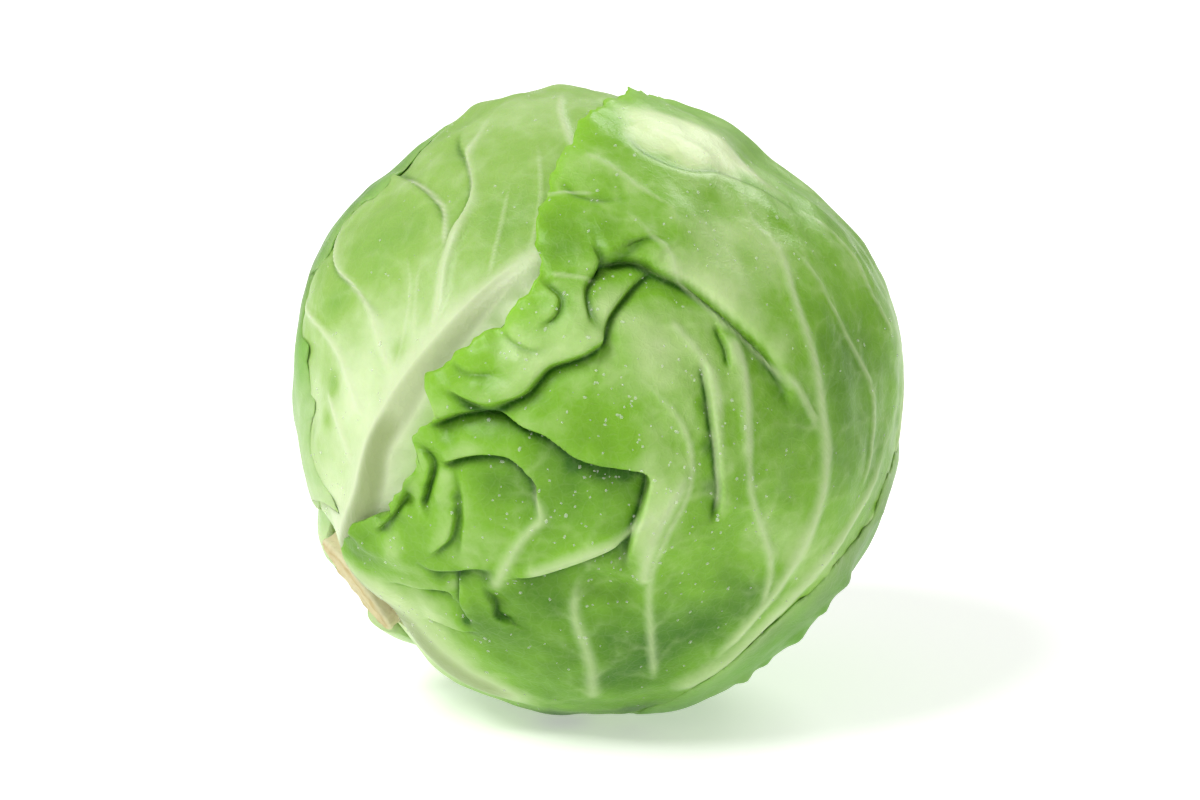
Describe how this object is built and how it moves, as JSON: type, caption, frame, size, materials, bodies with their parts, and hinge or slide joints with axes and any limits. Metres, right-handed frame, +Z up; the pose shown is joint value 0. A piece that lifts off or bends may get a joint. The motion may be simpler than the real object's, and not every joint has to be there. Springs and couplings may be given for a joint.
{
  "type": "green cabbage head",
  "caption": "Round green cabbage head lying on its side, with large ribbed and pleated wrapper leaves folded round a tight heart and a short cut stem.",
  "frame": {"origin": "centre of the bounding box, on the surface that the head rests on", "axes": "+Z up, -Y toward the viewer of the picture, +X to the viewer's right; the stem points down and to -X"},
  "size_m": [0.18, 0.183, 0.1834],
  "materials": {
    "front_leaf": "satin",
    "pale_leaf": "satin",
    "inner_leaf": "satin",
    "outer_leaf": "satin",
    "heart_leaf": "satin",
    "stem": "matte"
  },
  "bodies": {
    "root": {"heart": "heart_leaf", "leaf_crown": "inner_leaf", "leaf_left": "pale_leaf", "leaf_front": "front_leaf", "leaf_back_left": "outer_leaf", "leaf_back_right": "outer_leaf", "stem": "stem"}
  },
  "joints": []
}
